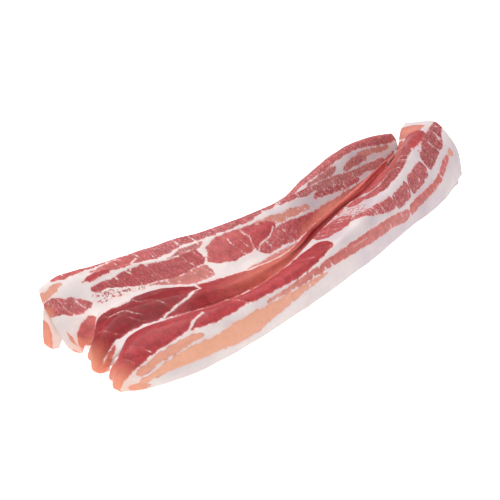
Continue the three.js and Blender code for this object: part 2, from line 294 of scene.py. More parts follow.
STREAKS = {
    "rasher_front": [
        streak([(-112, 0.45, 1.42), (-106, 0.42, 1.57), (-100, 0.46, 1.76), (-94, 0.5, 1.88),
            (-88, 0.57, 1.93), (-82, 0.61, 1.96), (-78, 0.64, 1.97), (-72, 0.68, 1.98),
            (-66, 0.68, 1.98), (-60, 0.66, 1.98), (-50, 0.67, 1.98), (-40, 0.71, 1.98),
            (-34, 0.7, 1.98), (-28, 0.67, 1.98), (-20, 0.67, 1.97), (-10, 0.67, 1.95),
            (0, 0.66, 1.88), (6, 0.68, 1.83), (12, 0.73, 1.79), (18, 0.79, 1.74), (24, 0.85, 1.64),
            (30, 0.96, 1.48)],
            tone=[(-105, 0.6), (-94, 0.72), (-76, 0.68), (-20, 0.6), (0, 0.6), (20, 0.74)],
            seams=0.16, pitch=21, slant=1.0),
        streak([(-102, 0.29, 0.42), (-95, 0.34, 0.49), (-90, 0.38, 0.51), (-85, 0.405, 0.545),
            (-80, 0.435, 0.575), (-75, 0.46, 0.6), (-70, 0.485, 0.6), (-66, 0.51, 0.57)],
            tone=0.14),
        streak([(-102, 0.15, 0.22), (-96, 0.18, 0.29), (-90, 0.19, 0.34), (-80, 0.2, 0.41),
            (-70, 0.19, 0.44), (-60, 0.18, 0.45), (-50, 0.16, 0.48), (-40, 0.15, 0.52),
            (-30, 0.19, 0.5), (-20, 0.24, 0.485), (-10, 0.285, 0.465), (0, 0.32, 0.455),
            (10, 0.35, 0.445), (18, 0.385, 0.43)],
            tone=[(-100, 0.04), (-20, 0.09), (5, 0.15), (25, 0.2)],
            seams=[(-100, 0), (-34, 0), (-20, 0.3), (20, 0.5)], pitch=5),
        streak([(-26, 0.52, 0.56), (-18, 0.505, 0.58), (-8, 0.48, 0.6), (2, 0.475, 0.625),
            (12, 0.465, 0.645), (22, 0.45, 0.655), (31, 0.425, 0.65), (40, 0.395, 0.62),
            (50, 0.36, 0.58), (60, 0.32, 0.54), (70, 0.29, 0.5), (80, 0.26, 0.43), (88, 0.21, 0.37),
            (95, 0.2, 0.36)], tone=[(-20, 0.2), (0, 0.3), (20, 0.4)], seams=0.45, pitch=4, cap=4),
        streak([(95.5, 0.22, 0.35), (105, 0.24, 0.375), (115, 0.25, 0.365), (125, 0.26, 0.36),
            (133, 0.285, 0.38), (140, 0.33, 0.43), (146, 0.37, 0.46), (151, 0.405, 0.47)],
            tone=0.42, seams=0.45, pitch=4),
        streak([(-107, 0.02, 0.2), (-103, 0.03, 0.19), (-99, 0.05, 0.12)], tone=0.08),
        streak([(152, 0.4, 0.48), (158, 0.4, 0.5)], tone=0.15, dull=0.2, speck=0.5, cap=1.5),
        streak([(50, 1.1, 1.28), (55, 0.96, 1.22), (60, 0.8, 1.1), (68, 0.65, 0.96),
            (76, 0.56, 0.87), (83.5, 0.5, 0.79)], tone=0.6, dull=0.5, seams=0.5, pitch=3.6),
        streak([(83.5, 0.47, 0.77), (90, 0.43, 0.73), (97, 0.44, 0.72), (102, 0.46, 0.72)],
            tone=0.62, dull=0.6, seams=0.5, pitch=5),
        streak([(102.5, 0.44, 0.71), (110, 0.44, 0.73), (118, 0.45, 0.73), (125, 0.46, 0.7)],
            tone=0.62, dull=0.7, speck=0.2, seams=0.42, pitch=5.5),
        streak([(126, 0.47, 0.7), (135, 0.5, 0.84), (142, 0.54, 0.92), (150, 0.58, 0.96),
            (158, 0.72, 0.99), (165, 0.8, 1.02)], tone=0.8, dull=0.8, seams=0.4, pitch=6),
        streak([(80, 1.1, 1.3), (86, 1.0, 1.36), (92, 0.95, 1.4), (98, 0.93, 1.4),
            (105, 0.92, 1.38), (112, 0.93, 1.32), (120, 0.94, 1.24), (127, 0.96, 1.12)], tone=0.85,
            dull=0.5, seams=0.35, pitch=9),
        streak([(119, 1.12, 1.3), (126, 0.98, 1.46), (133, 0.9, 1.56), (141, 0.88, 1.56),
            (149, 0.94, 1.44)], tone=0.68, dull=0.15),
        streak([(143, 1.4, 1.95), (149, 1.15, 1.97), (154, 1.12, 1.95), (159, 1.2, 1.8)], tone=0.33,
            speck=0.35),
        streak([(86, 1.75, 1.98), (92, 1.55, 1.98), (98, 1.44, 1.98), (104, 1.4, 1.98),
            (112, 1.34, 1.98), (124, 1.28, 1.98), (134, 1.52, 1.98), (142, 1.58, 1.98)], tone=0.5,
            dull=0.2, speck=0.25, seams=0.4, pitch=6),
        streak([(56, 1.9, 1.98), (62, 1.8, 1.98), (72, 1.88, 1.98), (84, 1.85, 1.98)], tone=0.5,
            dull=0.3, speck=0.5, seams=0.4, pitch=4),
        streak([(74, 1.2, 1.55), (82, 1.12, 1.6), (88, 1.15, 1.5)], tone=0.6, dull=0.5, speck=0.4),
        streak([(66, 1.55, 1.8), (73, 1.48, 1.86), (80, 1.6, 1.9)], tone=0.6, dull=0.5, speck=0.3),
        streak([(31, 1.5, 1.9), (38, 1.3, 1.93), (46, 1.15, 1.9), (52, 1.2, 1.85), (56, 1.35, 1.7)],
            tone=0.6, dull=0.4, speck=0.35, seams=0.45, pitch=5),
        streak([(50, 1.2, 1.9), (60, 1.15, 1.85), (68, 1.2, 1.6)], tone=0.5, dull=0.4, speck=1,
            limit=-0.5),
        streak([(84, 1.35, 1.5), (100, 1.3, 1.42), (120, 1.1, 1.3), (130, 0.76, 0.9),
            (140, 0.8, 0.95)], tone=0.5, dull=0.5, speck=1, limit=-0.6),
    ],
    "rasher_middle": [
        streak([(-112, 2.4, 3.17), (-106, 2.38, 3.44), (-100, 2.32, 3.64), (-95, 2.24, 3.7),
            (-90, 2.18, 3.7), (-85, 2.15, 3.7), (-80, 2.15, 3.76), (-75, 2.15, 3.88),
            (-70, 2.2, 3.95), (-64, 2.43, 3.96), (-58, 2.6, 3.97), (-52, 2.8, 3.98),
            (-45, 3.1, 3.98), (-41, 3.4, 3.9)],
            tone=[(-104, 0.8), (-95, 0.94), (-70, 1.0), (-45, 0.95)], seams=0.15, pitch=19,
            slant=1.0),
        streak([(-72, 2.12, 2.4), (-60, 2.13, 2.9), (-50, 2.13, 3.9), (-40, 2.13, 3.98),
            (-30, 2.1, 3.98), (-20, 2.05, 3.95), (-10, 1.92, 3.92), (0, 1.86, 3.92), (10, 1.7, 3.9),
            (20, 1.6, 3.98), (30, 1.5, 3.98), (122, 1.5, 3.98)],
            tone=[(-60, 0.86), (-35, 0.74), (0, 0.62), (35, 0.82), (60, 0.7), (90, 0.5)]),
        streak([(-78, 1.4, 2.0), (-70, 1.4, 2.08), (-60, 1.4, 2.15), (-50, 1.4, 2.18),
            (-40, 1.4, 2.18), (-30, 1.4, 2.12), (-20, 1.4, 1.96), (-5, 1.4, 1.8)], tone=0.58),
        streak([(-111, 2.2, 2.38), (-104, 2.1, 2.35), (-99, 2.1, 2.25)], tone=0.5),
    ],
    "rasher_back": [
        streak([(-102, 4.86, 4.94), (-98, 4.81, 4.95), (-94, 4.78, 4.95), (-88, 4.8, 4.95),
            (-82, 4.84, 4.95)], tone=0.5, seams=0.4, pitch=6),
        streak([(-86, 4.87, 4.95), (-80, 4.84, 4.95), (-72, 4.88, 4.95), (-62, 4.9, 4.95)],
            tone=0.6, dull=0.4, seams=0.4, pitch=5),
        streak([(-81, 4.75, 4.8), (-75, 4.7, 4.83), (-68, 4.67, 4.86), (-60, 4.67, 4.9),
            (-52, 4.675, 4.93), (-40, 4.705, 4.94), (-30, 4.74, 4.94), (-20, 4.76, 4.94),
            (-10, 4.765, 4.94), (0, 4.76, 4.94), (8, 4.77, 4.94), (14, 4.79, 4.93),
            (19, 4.82, 4.92)], tone=[(-77, 0.45), (-55, 0.5), (-42, 0.62)],
            dull=[(-62, 0), (-45, 0.55)], seams=0.3, pitch=7),
        streak([(20, 4.82, 4.92), (26, 4.83, 4.92), (30, 4.85, 4.92)], tone=0.58, dull=0.6,
            cap=1.5),
        streak([(30.5, 4.78, 4.91), (38, 4.75, 4.89), (45, 4.71, 4.84), (50, 4.69, 4.8),
            (55, 4.66, 4.75)], tone=0.6, dull=0.6, seams=0.4, pitch=6),
        streak([(-86, 4.43, 4.54), (-80, 4.44, 4.58), (-75, 4.41, 4.58), (-70, 4.35, 4.61),
            (-64, 4.31, 4.63), (-56, 4.3, 4.635), (-50, 4.31, 4.62), (-44, 4.36, 4.62),
            (-38, 4.38, 4.62), (-32, 4.41, 4.64), (-27, 4.46, 4.64)], tone=0.68, dull=0.28,
            seams=0.3, pitch=6),
        streak([(-44, 4.625, 4.65), (-36, 4.625, 4.69), (-28, 4.645, 4.72), (-21, 4.67, 4.73)],
            tone=0.44, dull=0.8, cap=1.5),
        streak([(-60, 4.24, 4.29), (-54, 4.2, 4.3), (-48, 4.17, 4.33), (-40, 4.14, 4.37),
            (-34, 4.16, 4.39), (-28, 4.2, 4.38)], tone=0.36, dull=0.2, speck=0.3, seams=0.5,
            pitch=4),
        streak([(-28, 4.4, 4.5), (-24, 4.34, 4.63), (-17, 4.32, 4.71), (-8, 4.34, 4.725),
            (-2, 4.36, 4.725), (3, 4.4, 4.72)], tone=0.51, dull=0.18, seams=0.3, pitch=8),
        streak([(-1, 4.42, 4.71), (6, 4.38, 4.72), (11, 4.42, 4.715), (16, 4.48, 4.7),
            (21, 4.5, 4.66)], tone=0.58, dull=0.15, cap=2),
        streak([(1, 4.3, 4.42), (9, 4.23, 4.48), (16, 4.21, 4.52), (22, 4.19, 4.53),
            (30, 4.08, 4.5), (38, 4.0, 4.43), (46, 3.7, 4.37), (55, 3.6, 4.31), (65, 3.6, 4.25),
            (80, 3.6, 4.2), (100, 3.6, 4.1), (135, 3.6, 4.2)],
            tone=[(10, 0.55), (30, 0.62), (42, 0.64), (56, 0.42)], dull=[(22, 0.5), (45, 0.2)],
            seams=[(0, 0.3), (40, 0)], pitch=8),
        streak([(-12, 4.03, 4.1), (5, 4.03, 4.18), (15, 4.03, 4.17), (27, 4.0, 4.08)], tone=0.3,
            speck=0.4),
        streak([(-66, 3.7, 4.02), (-56, 3.7, 4.04), (-40, 3.7, 4.1), (-28, 3.7, 4.08),
            (-16, 3.7, 4.02)], tone=0.4, speck=0.4),
        streak([(6, 4.66, 4.71), (12, 4.6, 4.72), (20, 4.56, 4.71), (30, 4.52, 4.67),
            (40, 4.46, 4.6), (48, 4.4, 4.52)], tone=0.24, dull=0.15, speck=0.35, seams=0.5,
            pitch=4.5),
        streak([(54, 4.47, 4.57), (62, 4.4, 4.53), (70, 4.32, 4.45), (78, 4.25, 4.39),
            (86, 4.19, 4.32), (93, 4.15, 4.26)], tone=0.58, dull=0.7, speck=0.25, seams=0.6,
            pitch=3.6),
        streak([(42, 4.72, 4.75), (50, 4.62, 4.72), (58, 4.56, 4.69), (66, 4.48, 4.65),
            (74, 4.41, 4.59), (82, 4.35, 4.53), (90, 4.29, 4.47), (98, 4.24, 4.42),
            (106, 4.16, 4.36), (114, 4.08, 4.31), (122, 4.0, 4.28)], tone=0.42, dull=0.85,
            speck=0.6, limit=1.0, seams=0.35, pitch=9),
        streak([(-112, 4.58, 4.71), (-106, 4.48, 4.68), (-100, 4.35, 4.6), (-94, 4.26, 4.5),
            (-89, 4.25, 4.38)], tone=0.52, dull=0.5, seams=0.22, pitch=6, cap=3),
        streak([(-112, 4.72, 4.81), (-106, 4.69, 4.81), (-101, 4.69, 4.79), (-97, 4.71, 4.77)],
            tone=0.14, dull=0.1),
        streak([(-88, 4.62, 4.66), (-82, 4.61, 4.72), (-76, 4.64, 4.73), (-70, 4.67, 4.71)],
            tone=0.66),
        streak([(-88, 4.24, 4.42), (-80, 4.26, 4.42), (-72, 4.26, 4.36), (-62, 4.22, 4.28)],
            tone=0.6, dull=0.6, speck=1, limit=-0.35),
        streak([(-108, 3.6, 4.08), (-103, 3.6, 4.18), (-98, 3.6, 4.2), (-92, 3.8, 4.12)], tone=0.46,
            cap=3.5),
        streak([(-112.5, 4.04, 4.22), (-109.6, 4.06, 4.2)], tone=0.12, cap=1),
        streak([(-107.4, 4.13, 4.31), (-106.2, 4.12, 4.3)], tone=0.15, cap=0.6),
    ],
    "rasher_back_under": [
        streak([(-92, 4.95, 5.2), (48, 4.93, 5.2), (60, 4.87, 5.2), (70, 4.83, 5.2),
            (80, 4.81, 5.2), (90, 4.79, 5.2), (100, 4.76, 5.2), (110, 4.72, 5.1), (120, 4.67, 5.1),
            (130, 4.62, 5.05), (141, 4.56, 5.0)], tone=0.54, dull=0.65),
        streak([(54, 4.74, 4.86), (64, 4.68, 4.83), (72, 4.66, 4.79), (79, 4.68, 4.75)], tone=0.4,
            dull=0.8, speck=0.4),
        streak([(84, 4.54, 4.64), (92, 4.52, 4.67), (98, 4.5, 4.67), (107, 4.5, 4.63)], tone=0.45,
            dull=0.8, seams=0.4, pitch=5),
        streak([(100, 4.66, 4.71), (106, 4.58, 4.7), (114, 4.54, 4.68), (122, 4.5, 4.63),
            (131, 4.48, 4.56)], tone=0.26, dull=0.35, seams=0.4, pitch=5),
        streak([(-92, 4.1, 4.5), (90, 4.3, 4.46), (100, 4.25, 4.44), (120, 4.2, 4.4),
            (137, 4.1, 4.4)], tone=0.55),
    ],
    "rasher_front_under": [
        streak([(-111, 0.7, 1.95), (-104, 0.8, 1.9), (-97, 0.8, 1.2), (-60, 0.7, 1.1),
            (30, 0.6, 1.1), (120, 0.7, 1.15), (166, 0.7, 1.1)], tone=0.5),
        streak([(-100, 0.25, 0.45), (0, 0.2, 0.5), (90, 0.15, 0.4), (163, 0.15, 0.35)], tone=0.3),
    ],
    "rasher_middle_under": [
        streak([(-110, 2.5, 3.85), (-104, 2.5, 3.8), (-95, 2.2, 2.9), (112, 2.0, 2.9)], tone=0.5),
    ],
    "rasher_back_low": [
        streak([(-122, 4.46, 4.68), (-118, 4.48, 4.72), (-113, 4.52, 4.74)], tone=0.4, cap=2),
        streak([(-104, 4.7, 4.86), (-98, 4.7, 5.1), (-85, 4.8, 5.1), (-50, 4.75, 5.02),
            (0, 4.8, 5.0), (60, 4.78, 5.04), (120, 4.8, 5.05), (147, 4.75, 5.0)], tone=0.55,
            seams=0.3, pitch=7),
        streak([(-94, 5.36, 5.5), (-88, 5.32, 5.64), (-60, 5.22, 5.62), (-20, 5.2, 5.52),
            (30, 5.28, 5.64), (90, 5.2, 5.58), (146, 5.28, 5.58)], tone=0.68, dull=0.3, seams=0.35,
            pitch=8),
        streak([(-70, 5.76, 5.88), (-40, 5.74, 5.92), (-10, 5.7, 5.86), (60, 5.74, 5.92),
            (136, 5.7, 5.88)], tone=0.42, seams=0.4, pitch=5),
        streak([(-100, 4.5, 4.6), (0, 4.45, 4.6), (140, 4.45, 4.6)], tone=0.5),
    ],
}
# Thin lines of fat through the lean: a width in mm and points (s, q).
SEAMS = {
    "rasher_front": [
        (0.35, [(40, 0.52), (52, 0.48)]),
        (1.0, [(-75, 0.62), (-67, 0.82), (-61.5, 1.0), (-59, 1.12)]),
        (0.3, [(-60, 1.12), (-57, 1.5)]),
    ],
    "rasher_middle": [
        (1.0, [(-71, 2.2), (-62, 2.5), (-55, 2.75), (-49, 3.05), (-45, 3.6), (-43, 4.0)]),
        (0.3, [(-92, 3.3), (-84, 3.1), (-79, 2.6)]),
        (0.3, [(-74, 3.8), (-66, 2.7)]),
    ],
    "rasher_back": [
        (1.2, [(-19, 4.74), (-22, 4.66), (-27, 4.44)]),
        (0.8, [(-64, 4.6), (-61, 4.68), (-58, 4.77)]),
        (0.35, [(1.5, 4.72), (2, 4.55), (0, 4.38)]),
        (0.5, [(19, 4.56), (12, 4.45), (6, 4.42), (2, 4.34)]),
        (0.6, [(-24, 4.7), (-27, 4.93)]),
        (0.6, [(29.5, 4.76), (30.5, 4.95)]),
    ],
}
# Where a rasher lies open to the air: from this line across on. The others are covered.
OPEN_FROM = {"rasher_front": -1, "rasher_middle": 2.15, "rasher_back": 4.15}
COVERED = 9
# Plump places: centre (s, q), half lengths in mm along and across, height in mm.
RIDGES = {
    "rasher_middle": [(-92, 3.72, 10, 3.2, 0.9), (-78, 3.9, 14, 2.6, 1.0),
                      (-62, 3.93, 10, 2.0, 0.7)],
    "rasher_back": [(-78, 4.69, 10, 2.6, 1.1), (-95, 4.66, 12, 5, 0.7),
                    (-60, 4.66, 16, 1.4, 0.5), (-12, 4.55, 14, 5, 0.6),
                    (11, 4.58, 8, 4, 0.6), (24, 4.36, 14, 4.5, 0.6)],
    "rasher_front": [(-104, 0.9, 9, 9, 0.5), (-50, 1.3, 22, 9, 0.6), (8, 1.3, 18, 7, 0.5),
                     (105, 1.15, 14, 4, 0.6), (136, 1.2, 10, 5, 0.6), (48, 1.6, 12, 4, 0.6)],
}
# Painted light: spots where the meat is painted orange and lighter, standing in for light shining
# through thin slices and lighting the valleys: centre (s, q), half lengths in mm, strength.
GLOWS = {
    "rasher_front": [(-113, 0.7, 13, 18, 1.0), (128, 1.85, 26, 6, 0.3),
                     (152, 1.5, 7, 10, 0.35)],
    "rasher_middle": [(-114, 2.7, 13, 14, 0.95), (-5, 2.8, 38, 9, 0.35),
                      (75, 3.9, 45, 6, 0.3)],
    "rasher_back": [(-111, 4.6, 5, 4, 0.7), (-107, 4.0, 10, 7, 0.8), (55, 4.12, 26, 4, 0.5),
                    (38, 4.1, 9, 5, 0.3)],
    "rasher_back_under": [(120, 4.2, 20, 6, 0.6)],
    "rasher_front_under": [(-111, 1.8, 12, 12, 0.7)],
    "rasher_middle_under": [(-110, 3.6, 12, 14, 0.9)],
    "rasher_back_low": [(-120, 4.6, 14, 12, 0.8)],
}
# How grey the fat is, by its place along: 0 is cream, 1 is lilac.
GREY_ALONG = [(-110, 0.12), (-20, 0.3), (30, 0.5), (100, 0.8), (160, 0.5)]

# Marks of a rasher: depths in mm, and how far and over what size its lines wander
DEEPEST = 4.0
NO_LEAN = -6.0
SKIN_DEPTH = -0.5
FAR_OFF = 99.0
LOOKS_REACH = 1.5
LOOKS_BLEND = 2.0
FRAYING = ((0.45, 2.7), (0.35, 1.2))
SEAM_FRAYING = 0.3
# Reach of the spots of painted light, in half lengths
GLOW_REACH = 1.25
SEEDS_APART = 31
STREAK_WANDER = 2.2
STREAK_WANDER_SIZE = 7
SEAM_WANDER = 0.9
SEAM_WANDER_SIZE = 2.6
SEAM_SHIFT = 0.38
SEAM_THINNING = 0.35
LINE_WANDER = 1.3
LINE_WANDER_SIZE = 4.2
GREY_PATCHES = 0.25
GREY_PATCH_SIZE = 12

# Relief: heights in mm, and the size of what stands up
FAT_RISE = 0.17
FAT_EDGE = 1.2
LEAN_RISE = 0.13
LEAN_EDGE = 1.6
GRAIN_RISE = 0.05
GRAIN_SIZE = 1.1
GRAIN_STRETCH = 0.35
LUMP_RISE = 0.1
LUMP_SIZE = 5.5
SMALL_LUMP_RISE = 0.06
SMALL_LUMP_SIZE = 1.9
OPEN_RISE = 0.32
OPEN_SIZE = 5.2
OPEN_STRETCH = 0.5
OPEN_BLEND = 0.15
RIDGE_REACH = 1.2
COMMON_WAVES = ((0.5, 17), (0.22, 7.3))
COMMON_SEED = 41
UNDERSIDE_SHARE = 0.3


class Slice:
    """One rasher as arrays over its stations along (rows) and across (columns)."""

    def __init__(self, name, rows, columns):
        self.name = name
        self.dims = RASHERS[name]
        self.seed = sorted(RASHERS).index(name) + 3
        start, end = self.dims["start"], self.dims["end"]
        self.s = self.stations(end - start, rows) + start
        right = ramp(self.s, self.dims["right"])[:, None]
        left = ramp(self.s, self.dims["left"])[:, None]
        self.arc_q = right + (left - right) * np.linspace(0, 1, ARC_STEPS)
        row_s = np.repeat(self.s[:, None], ARC_STEPS, 1)
        points = self.place(row_s.ravel(), self.arc_q.ravel(), 0.0, plain=True)
        points = points.reshape(len(self.s), ARC_STEPS, 3)
        steps = np.linalg.norm(np.diff(points[..., 1:], axis=1), axis=2)
        self.arc = np.concatenate([np.zeros((len(self.s), 1)), np.cumsum(steps, 1)], 1)
        self.width = self.arc[:, -1]
        self.v = np.array([self.stations(width, columns) for width in self.width])
        self.q = np.array([np.interp(*row) for row in zip(self.v, self.arc, self.arc_q)])
        self.f = self.v / self.width[:, None]
        self.u = np.repeat(self.s[:, None], self.v.shape[1], 1)

    @staticmethod
    def stations(length, count):
        """Stations from 0 to length, crowded within the rounding of either edge."""
        close = EDGE_STATIONS if length > NARROW else NARROW_STATIONS
        inner = np.linspace(close[-1], length - close[-1], count + 3 - 2 * len(close))
        return np.concatenate([close[:-1], inner, (length - close[:-1])[::-1]])

    def place(self, s, q, depth, f=0.5, plain=False):
        """Point at s along, q across and depth below the top; f is the share across."""
        d = self.dims
        cut = 0.0
        tip = 0.0
        if not plain:
            corner = np.abs(2 * f - 1) ** 4
            cut = d["trim"](f) + self.ragged(f)
            tip = d.get("tip", TIP_ROUND) * corner + self.ragged(f + 1) / 3
        at = (s - cut * smooth(1 - (d["end"] - s) / TRIM_BLEND)
              + tip * smooth(1 - (s - d["start"]) / TIP_BLEND))
        return sheet(at, q, d["level"] * STEP + depth, d["start"] + tip, d["end"] - cut,
                     d["near"](q), d["far"])

    def ragged(self, f):
        """Unevenness of a cut end in mm, by the share across."""
        across = np.asarray(f) * WIDTH
        return RAGGED + RAGGED * waves(across, 0 * across, RAGGED_SIZE, self.seed + 20)

    def arc_at(self, s, q):
        """Way across, in mm from the right edge, of a point (s, q)."""
        i = int(np.clip(np.searchsorted(self.s, s), 0, len(self.s) - 1))
        return float(np.interp(q, self.arc_q[i], self.arc[i]))

    def arcs(self, line):
        """Way across, in mm from the right edge, of one q in each row."""
        return np.array([np.interp(*row) for row in zip(line, self.arc_q, self.arc)])

    def away_from(self, s, q, along_mm, across_mm):
        """Distance from the point (s, q), in half lengths along and across."""
        return np.hypot((self.u - s) / along_mm, (self.v - self.arc_at(s, q)) / across_mm)


def band_depth(piece, one):
    """Signed depth in mm inside a band of lean, positive inside."""
    at_s, low_q, high_q = np.array(one["band"], float).T
    first, last = at_s[0], at_s[-1]
    wander = STREAK_WANDER * waves(piece.s, 0 * piece.s, STREAK_WANDER_SIZE,
                                   int(abs(first)) + 5)
    at = np.clip(piece.s + wander, first, last)
    low = piece.arcs(np.interp(at, at_s, low_q))
    high = piece.arcs(np.interp(at, at_s, high_q))
    t = np.ones_like(piece.s)
    if first > piece.dims["start"] + 1:
        t = np.minimum(t, (piece.s - first) / one["cap"])
    if last < piece.dims["end"] - 2:
        t = np.minimum(t, (last - piece.s) / one["cap"])
    closing = np.sqrt(np.clip(1 - (1 - np.clip(t, 0, 1)) ** 2, 0, 1))
    half = (high - low) / 2 * closing
    middle = (high + low) / 2
    beyond = np.maximum(0, -t) * one["cap"]
    away = np.abs(piece.v - middle[:, None])
    return np.minimum(half[:, None] - np.hypot(away, beyond[:, None]), DEEPEST)


def seam_distance(piece, pitch, slant, seed):
    """Distance in mm from the nearest of the thin lines that part a streak in blocks."""
    wander = SEAM_WANDER * waves(piece.u, piece.v, SEAM_WANDER_SIZE, seed + 3)
    u = piece.u + slant * piece.v + wander
    cell = np.floor(u / pitch)
    best = np.full(u.shape, FAR_OFF)
    for step in (-1, 0, 1):
        k = cell + step
        at = (k + 0.5 + SEAM_SHIFT * dice(k, 0 * k, seed)) * pitch
        thinned = SEAM_THINNING * (dice(k, 0 * k + 1, seed) + 1)
        best = np.minimum(best, np.abs(u - at) + thinned)
    return best


def parted_depth(piece, one, seed):
    """Depth in mm inside a streak, with the seams across it cut out."""
    depth = band_depth(piece, one)
    if not one["seams"]:
        return depth
    wide = value_along(piece, one["seams"])
    parted = seam_distance(piece, one["pitch"], one["slant"], seed)
    cut = np.where(wide > 0, parted - wide / 2, FAR_OFF)
    return np.where(depth > SKIN_DEPTH, np.minimum(depth, np.maximum(cut, -wide)), depth)


def line_distance(piece, points):
    """Distance in mm from a broken line of (s, q) points."""
    flat = [(s, piece.arc_at(s, q)) for s, q in points]
    u = piece.u + LINE_WANDER * waves(piece.u, piece.v, LINE_WANDER_SIZE, piece.seed + 11)
    best = np.full(piece.v.shape, FAR_OFF)
    for (ax, ay), (bx, by) in zip(flat, flat[1:]):
        dx, dy = bx - ax, by - ay
        t = np.clip(((u - ax) * dx + (piece.v - ay) * dy) / (dx * dx + dy * dy), 0, 1)
        best = np.minimum(best, np.hypot(u - ax - t * dx, piece.v - ay - t * dy))
    return best


def value_along(piece, value):
    """A value for each row: the same all along, or from stations (s, value)."""
    if isinstance(value, (int, float)):
        return np.full((len(piece.s), 1), float(value))
    return ramp(piece.s, value)[:, None]


def paint(piece):
    """Lean depth, tone, dullness, marbling, painted light (the orange of light through thin meat)
    and greyness of a rasher, as arrays.
    """
    u, v, seed = piece.u, piece.v, piece.seed
    lean = np.full(v.shape, NO_LEAN)
    looks = {"tone": np.full(v.shape, 0.5), "dull": np.zeros(v.shape),
             "speck": np.zeros(v.shape)}
    for number, one in enumerate(STREAKS[piece.name]):
        depth = parted_depth(piece, one, seed * SEEDS_APART + number)
        better = (depth > lean) * smooth((depth + LOOKS_REACH) / LOOKS_BLEND)
        for key, values in looks.items():
            values += (value_along(piece, one[key]) - values) * better
        lean = np.maximum(lean, np.minimum(depth, one["limit"]))
    frayed = sum(far * waves(u, v, size, seed + k) for k, (far, size) in enumerate(FRAYING))
    lean = lean + frayed
    for width, points in SEAMS.get(piece.name, ()):
        away = line_distance(piece, points)
        lean = np.minimum(lean, away - width / 2 + SEAM_FRAYING * frayed)
    # Painted light: orange where light shines through thin meat, laid on as spots.
    glow = np.zeros(v.shape)
    for *spot, strength in GLOWS[piece.name]:
        glow = np.maximum(glow, strength * smooth(GLOW_REACH - piece.away_from(*spot)))
    ash = ramp(u, GREY_ALONG) + GREY_PATCHES * waves(u, v, GREY_PATCH_SIZE, seed + 5)
    return {"lean": np.clip(lean, -DEEPEST, DEEPEST), **looks, "glow": glow,
            "ash": np.clip(ash, 0, 1)}


def relief(piece, marks):
    """Outward offset of the upper face in mm: fat and blocks of lean stand proud."""
    u, v, seed = piece.u, piece.v, piece.seed
    fat = smooth(0.5 - marks["lean"] / FAT_EDGE)
    grain = waves(u, v * GRAIN_STRETCH, GRAIN_SIZE, seed + 7) * (1 - fat)
    raised = (FAT_RISE * fat + LEAN_RISE * smooth(marks["lean"] / LEAN_EDGE - 0.1)
              + GRAIN_RISE * grain + LUMP_RISE * waves(u, v, LUMP_SIZE, seed + 9)
              + SMALL_LUMP_RISE * waves(u, v, SMALL_LUMP_SIZE, seed + 13))
    bare = smooth((piece.q - OPEN_FROM.get(piece.name, COVERED)) / OPEN_BLEND)
    raised = raised + bare * OPEN_RISE * waves(u * OPEN_STRETCH, v, OPEN_SIZE, seed + 15)
    for *spot, height in RIDGES.get(piece.name, ()):
        raised = raised + bare * height * smooth(RIDGE_REACH - piece.away_from(*spot))
    return raised


def common_waves(s, q):
    """Slow waviness that all the layers share."""
    across = q * LINE_SPACING
    return sum(high * waves(s, across, size, COMMON_SEED + k)
               for k, (high, size) in enumerate(COMMON_WAVES))


def ring_points(piece, marks):
    """Closed skin of a rasher: rows along it, columns round its section."""
    from_end = np.minimum(piece.s - piece.dims["start"], piece.dims["end"] - piece.s)[:, None]
    from_side = np.minimum(piece.v, piece.width[:, None] - piece.v)
    inward = np.clip(np.minimum(from_end, from_side) / ROUND_EDGE, 0, 1)
    half = SLICE / 2 * np.sqrt(1 - (1 - inward) ** 2)
    lift = common_waves(piece.u, piece.q)
    raised = relief(piece, marks) * inward
    faces = []
    for side, extra in ((-1, raised), (1, UNDERSIDE_SHARE * raised)):
        depth = SLICE / 2 + side * half - lift - extra
        point = piece.place(piece.u.ravel(), piece.q.ravel(), depth.ravel(), piece.f.ravel())
        faces.append(point.reshape(*piece.v.shape, 3))
    top, under = faces
    return np.concatenate([top, under[:, ::-1][:, 1:]], 1)


def ring_marks(values):
    """Marks of the top, and the same again for the underside."""
    return np.concatenate([values, values[:, ::-1][:, 1:]], 1)


def grid_object(name, points, marks, flat):
    """A grid primitive shaped to the given points, with its marks as attributes."""
    rows, columns = points.shape[:2]
    bpy.ops.object.select_all(action="DESELECT")
    bpy.ops.mesh.primitive_grid_add(x_subdivisions=rows - 1, y_subdivisions=columns - 1,
                                    size=1, calc_uvs=True, location=(0, 0, 0))
    obj = bpy.context.object
    obj.name = name
    mesh = obj.data
    mesh.name = name
    co = np.empty(len(mesh.vertices) * 3)
    mesh.vertices.foreach_get("co", co)
    co = co.reshape(-1, 3)
    i = np.rint((co[:, 0] + 0.5) * (rows - 1)).astype(int)
    j = np.rint((co[:, 1] + 0.5) * (columns - 1)).astype(int)
    placed = points[i, j] - np.array([*CENTRE, 0])
    mesh.vertices.foreach_set("co", (placed * MM).astype(np.float32).ravel())
    for key, values in marks.items():
        attribute = mesh.attributes.new(key, "FLOAT", "POINT")
        attribute.data.foreach_set("value", values[i, j].astype(np.float32))
    loops = np.empty(len(mesh.loops), int)
    mesh.loops.foreach_get("vertex_index", loops)
    layer = mesh.uv_layers[0]
    layer.name = "flat"
    layer.data.foreach_set("uv", flat[i[loops], j[loops]].astype(np.float32).ravel())
    mesh.update()
    return obj


def close_skin(obj):
    """Welds the seam and the ends, and turns the faces outwards."""
    bpy.ops.object.select_all(action="DESELECT")
    obj.select_set(True)
    bpy.context.view_layer.objects.active = obj
    bpy.ops.object.mode_set(mode="EDIT")
    bpy.ops.mesh.select_all(action="SELECT")
    bpy.ops.mesh.remove_doubles(threshold=WELD)
    bpy.ops.mesh.normals_make_consistent(inside=False)
    bpy.ops.object.mode_set(mode="OBJECT")
    bpy.ops.object.shade_smooth()


